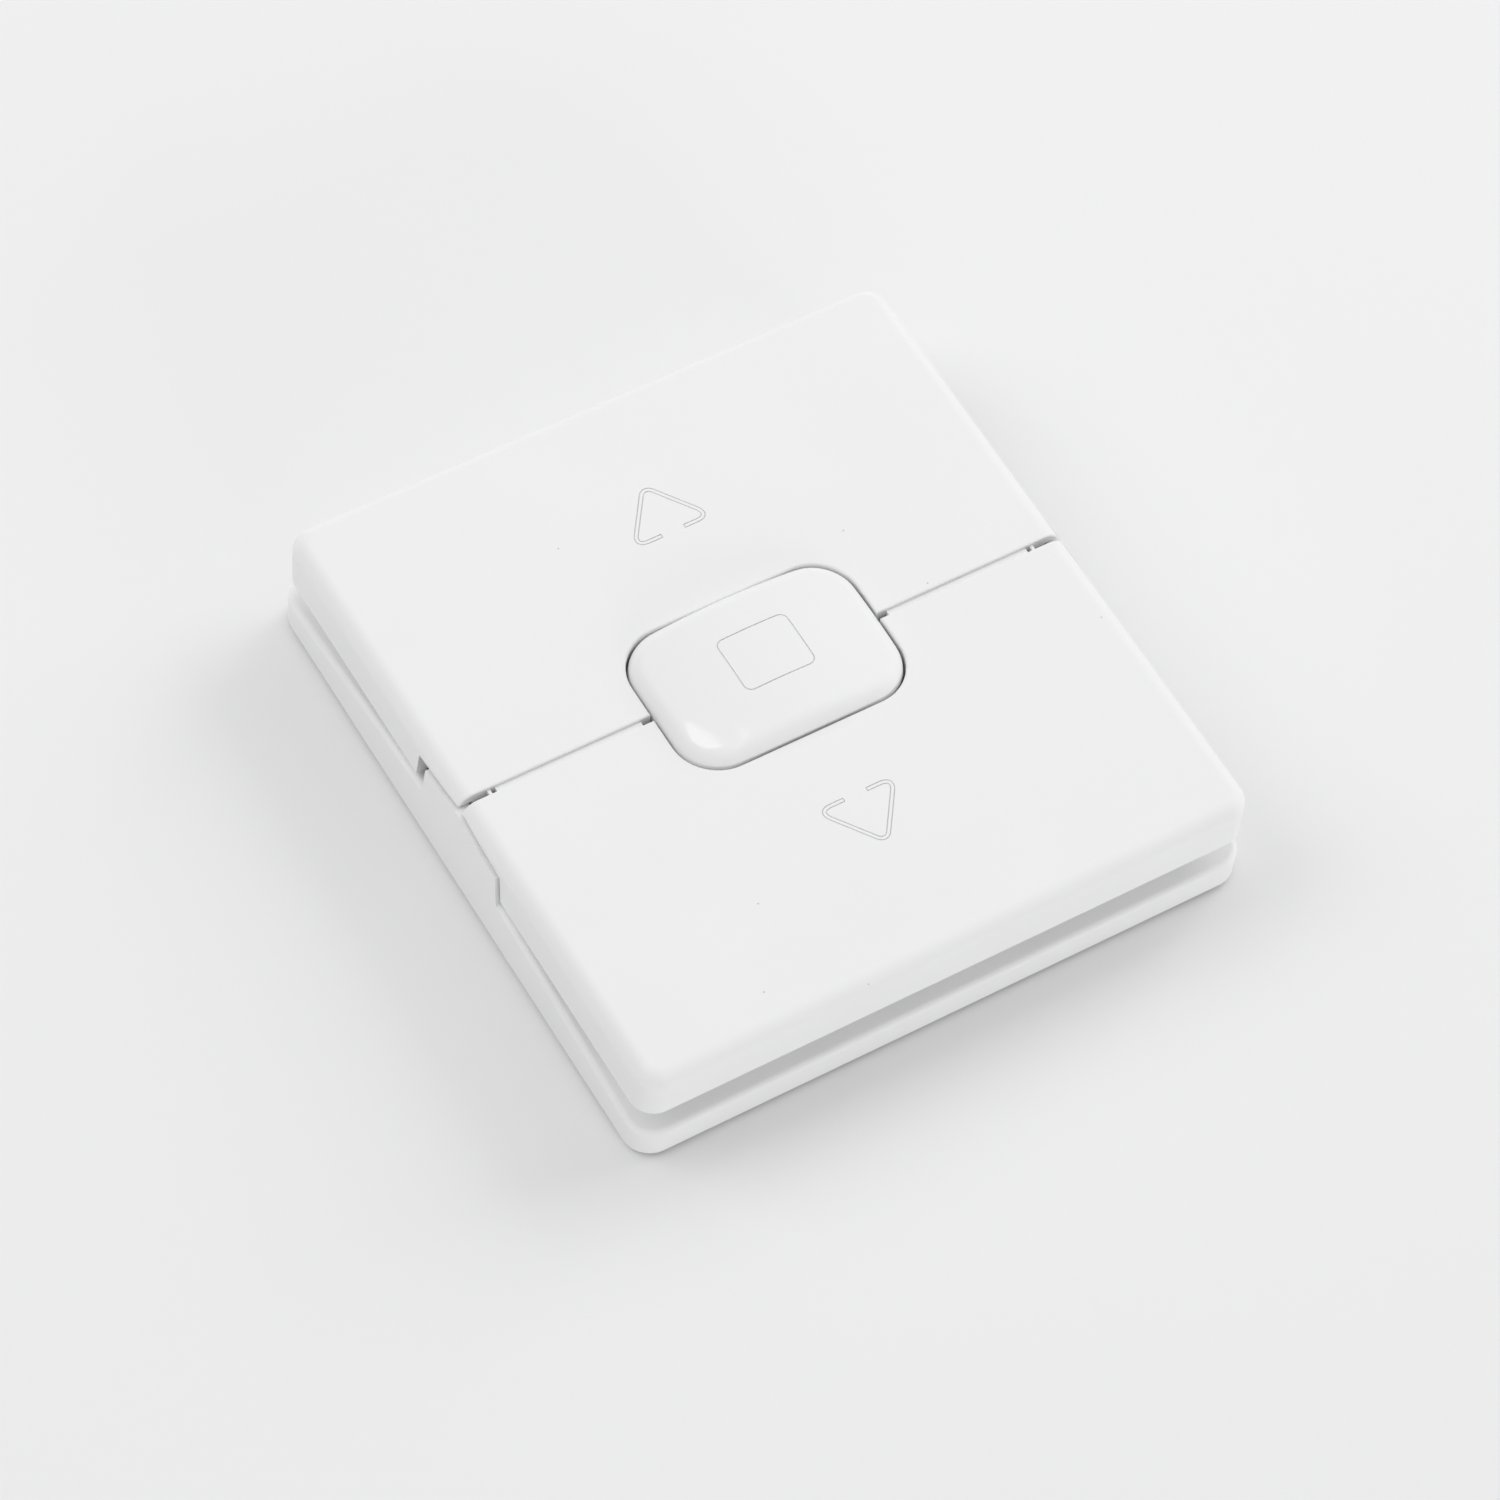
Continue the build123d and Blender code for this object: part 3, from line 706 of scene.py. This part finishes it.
class AWNING_OT_rocking_keys(bpy.types.Operator):
    """Engraves the triangles in the two keys and gives them a satin finish"""

    bl_idname = "awning.rocking_keys"
    bl_label = "Rocking keys"

    def execute(self, context):
        signs = context.scene.awning_signs
        looks = context.scene.awning_finishes
        satin = satin_moulding(
            "satin_key_white", looks.key_white, looks.key_roughness, looks.grain, looks.grain_depth
        )
        for node, distance, side in (("up_key", signs.up_distance, 1), ("down_key", signs.down_distance, -1)):
            key = link_piece(f"{node}_shell", shell_of(node))
            carve(key, triangle_groove(signs, distance, side))
            smooth_shading(key)
            dress(key, satin, node, node)
        return {"FINISHED"}


class AWNING_OT_stop_button(bpy.types.Operator):
    """Models the domed stop button, engraves its square and polishes it"""

    bl_idname = "awning.stop_button"
    bl_label = "Stop button"

    def execute(self, context):
        signs = context.scene.awning_signs
        sizes = context.scene.awning_button
        looks = context.scene.awning_finishes
        gloss = polished_moulding("polished_button_white", looks.button_white, looks.button_roughness)
        button = link_piece("stop_button_cap", cap_shape(sizes))
        carve(button, stem_and_legs(sizes), "UNION")
        carve(button, square_groove(signs, sizes))
        smooth_shading(button)
        dress(button, gloss, "stop_button", "stop_button")
        return {"FINISHED"}


class AWNING_OT_base_and_plate(bpy.types.Operator):
    """Finishes the base frame, the button carrier and the wall plate"""

    bl_idname = "awning.base_and_plate"
    bl_label = "Base and wall plate"

    def execute(self, context):
        looks = context.scene.awning_finishes
        satin = satin_moulding(
            "satin_base_white", looks.base_white, looks.key_roughness, looks.grain, looks.grain_depth
        )
        textured = satin_moulding(
            "textured_plate_white", looks.plate_white, looks.plate_roughness,
            PLATE_GRAIN * looks.grain, PLATE_GRAIN_DEPTH * looks.grain_depth,
        )
        repaint("base_frame", satin)
        repaint("button_carrier", satin)
        repaint("wall_plate", textured)
        return {"FINISHED"}


class AWNING_OT_circuit(bpy.types.Operator):
    """Finishes the circuit board and what is fixed to it"""

    bl_idname = "awning.circuit"
    bl_label = "Circuit board and fittings"

    def execute(self, context):
        housing = switch_housing("switch_black_and_steel")
        plunger = dark_moulding("plunger_black")
        brass = brushed_metal("contact_brass_strip")
        finishes = {
            "circuit_board": solder_mask("board_solder_mask"),
            "controller_chip": dark_moulding("chip_epoxy_black"),
            "cell_clip": brushed_metal("clip_spring_steel"),
            "cell_contact": brass,
            "antenna_loop": brass,
            "radio_module": brushed_metal("can_tinplate"),
        }
        for name in ("up", "down", "stop"):
            finishes[f"{name}_switch"] = housing
            finishes[f"{name}_plunger"] = plunger
        for node, material in finishes.items():
            repaint(node, material)
        return {"FINISHED"}


class AWNING_OT_screws_and_cell(bpy.types.Operator):
    """Cuts the cross recesses of the screws and stamps the coin cell's plus sign"""

    bl_idname = "awning.screws_and_cell"
    bl_label = "Screws and coin cell"

    def execute(self, context):
        sizes = context.scene.awning_fittings
        zinc = brushed_metal("screw_zinc")
        nickel = brushed_metal("cell_nickel")
        drive = (sizes.drive_reach, sizes.drive_width, sizes.drive_depth)
        for node, rows in (("board_screws", SIDES), ("carrier_screws", (0,))):
            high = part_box(node)[1]
            x, y = high.x - sizes.head_r, high.y - sizes.head_r
            places = [(side * x, row * y) for side in SIDES for row in rows]
            screws = link_piece(f"crosshead_{node}", shell_of(node))
            carve(screws, cross_groove(places, high.z, *drive))
            smooth_shading(screws)
            dress(screws, zinc, "base", node)
        low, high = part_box("coin_cell")
        place = (low.x + SIGN_PLACE * (high.x - low.x), low.y + SIGN_PLACE * (high.y - low.y))
        cell = link_piece("stamped_coin_cell", shell_of("coin_cell"))
        carve(cell, cross_groove([place], high.z, sizes.sign_reach, sizes.sign_width, sizes.sign_depth))
        smooth_shading(cell)
        dress(cell, nickel, "base", "coin_cell")
        return {"FINISHED"}


def facing(direction, turn):
    """Rotation of a lamp or camera that looks in a direction and is turned about it."""
    return (direction.to_track_quat("-Z", "Y") @ Quaternion(UP, turn)).to_euler()


def add_lamp(name, power, place, size, turn=0.0, mirrored=False):
    """A rectangular lamp that shines on the keys' middle. Only a mirrored one shows in polished faces."""
    lamp = bpy.data.lights.new(name, "AREA")
    lamp.shape = "RECTANGLE"
    lamp.size, lamp.size_y = size
    lamp.energy = power
    holder = bpy.data.objects.new(name, lamp)
    holder.visible_glossy = mirrored
    holder.location = place
    holder.rotation_euler = facing(MIDDLE - place, turn)
    bpy.context.scene.collection.objects.link(holder)


class AWNING_OT_stage(bpy.types.Operator):
    """Sets up the floor, the soft light and the camera"""

    bl_idname = "awning.stage"
    bl_label = "Stage"

    def execute(self, context):
        stage = context.scene.awning_stage
        context.scene.view_settings.view_transform = "Standard"
        self.lay_floor(stage)
        self.light_all_round(context, stage)
        self.place_lamps(stage)
        self.place_camera(context, stage)
        return {"FINISHED"}

    def lay_floor(self, stage):
        """Lays the table as a large sheet of paper."""
        sheet = bmesh.new()
        bmesh.ops.create_grid(
            sheet, x_segments=FLOOR_CELLS, y_segments=FLOOR_CELLS, size=stage.floor_size / 2
        )
        floor = link_piece("floor", sheet)
        floor.data.materials.append(floor_paper("studio_paper", stage.floor_white))

    def light_all_round(self, context, stage):
        """An even sky, and a brighter backdrop for the camera and polished faces."""
        world = bpy.data.worlds.new("studio")
        world.use_nodes = True
        context.scene.world = world
        tree = world.node_tree
        sky = tree.nodes["Background"]
        sky.inputs["Color"].default_value = (1.0, 1.0, 1.0, 1.0)
        rays = ("Is Camera Ray", "Is Glossy Ray", "Is Transmission Ray")
        camera, glossy, clear = (Flow(tree).node("ShaderNodeLightPath", {}, {}, ray) for ray in rays)
        seen = stage.sky + camera.most(glossy).most(clear) * (stage.backdrop - stage.sky)
        tree.links.new(seen.socket, sky.inputs["Strength"])

    def place_lamps(self, stage):
        """Four soft lamps, and a window and a pane that the button mirrors."""
        add_lamp("back_lamp", stage.back_power, place=0.9 * UP + 0.8 * AWAY, size=(1.8, 0.8))
        add_lamp(
            "corner_lamp", stage.corner_power, place=0.7 * UP + 0.8 * AWAY + 0.8 * RIGHT, size=(0.9, 0.9)
        )
        add_lamp("left_lamp", stage.left_power, place=0.9 * UP - 0.9 * RIGHT, size=(0.9, 0.9))
        add_lamp(
            "low_lamp", stage.low_power, place=0.22 * UP + 0.77 * RIGHT - 0.92 * AWAY, size=(0.8, 0.3)
        )
        add_lamp(
            "window", stage.window_power, place=MIDDLE + Vector((-0.064, 0.256, 0.965)),
            size=(0.2, 0.18), turn=radians(9), mirrored=True,
        )
        add_lamp(
            "pane", stage.pane_power, place=MIDDLE + Vector((0.10, -0.05, 0.99)),
            size=(0.65, 0.025), turn=radians(21), mirrored=True,
        )

    def place_camera(self, context, stage):
        """Puts the camera where the photo was taken from."""
        level = cos(stage.elevation)
        back = Vector((-sin(stage.azimuth) * level, -cos(stage.azimuth) * level, sin(stage.elevation)))
        camera = bpy.data.cameras.new("camera")
        camera.sensor_width = SENSOR_WIDTH
        camera.lens = stage.lens
        holder = bpy.data.objects.new("camera", camera)
        holder.location = Vector(stage.aim) + back * stage.distance
        holder.rotation_euler = facing(-back, stage.roll)
        context.scene.collection.objects.link(holder)
        context.scene.camera = holder


class AWNING_PT_panel(bpy.types.Panel):
    """Lists the switch's sizes, finishes and steps"""

    bl_idname = "AWNING_PT_panel"
    bl_label = "Awning Switch"
    bl_space_type = "VIEW_3D"
    bl_region_type = "UI"
    bl_category = "Awning Switch"

    def draw(self, context):
        for group in PROPERTY_GROUPS:
            box = self.layout.box()
            settings = getattr(context.scene, group)
            for name in settings.bl_rna.properties.keys():
                if name not in ("rna_type", "name"):
                    box.prop(settings, name)
        for operator in OPERATORS:
            self.layout.operator(operator.bl_idname)


PROPERTY_GROUPS = {
    "awning_signs": SignSizes,
    "awning_button": ButtonSizes,
    "awning_fittings": FittingSizes,
    "awning_finishes": Finishes,
    "awning_stage": StageSizes,
}
OPERATORS = (
    AWNING_OT_rocking_keys,
    AWNING_OT_stop_button,
    AWNING_OT_base_and_plate,
    AWNING_OT_circuit,
    AWNING_OT_screws_and_cell,
    AWNING_OT_stage,
)
CLASSES = (*PROPERTY_GROUPS.values(), *OPERATORS, AWNING_PT_panel)


def register():
    for cls in CLASSES:
        bpy.utils.register_class(cls)
    for name, group in PROPERTY_GROUPS.items():
        setattr(bpy.types.Scene, name, PointerProperty(type=group))


def unregister():
    for name in PROPERTY_GROUPS:
        delattr(bpy.types.Scene, name)
    for cls in reversed(CLASSES):
        bpy.utils.unregister_class(cls)


def main():
    register()
    bpy.ops.awning.rocking_keys()
    bpy.ops.awning.stop_button()
    bpy.ops.awning.base_and_plate()
    bpy.ops.awning.circuit()
    bpy.ops.awning.screws_and_cell()
    bpy.ops.awning.stage()


if __name__ == "__main__":
    main()
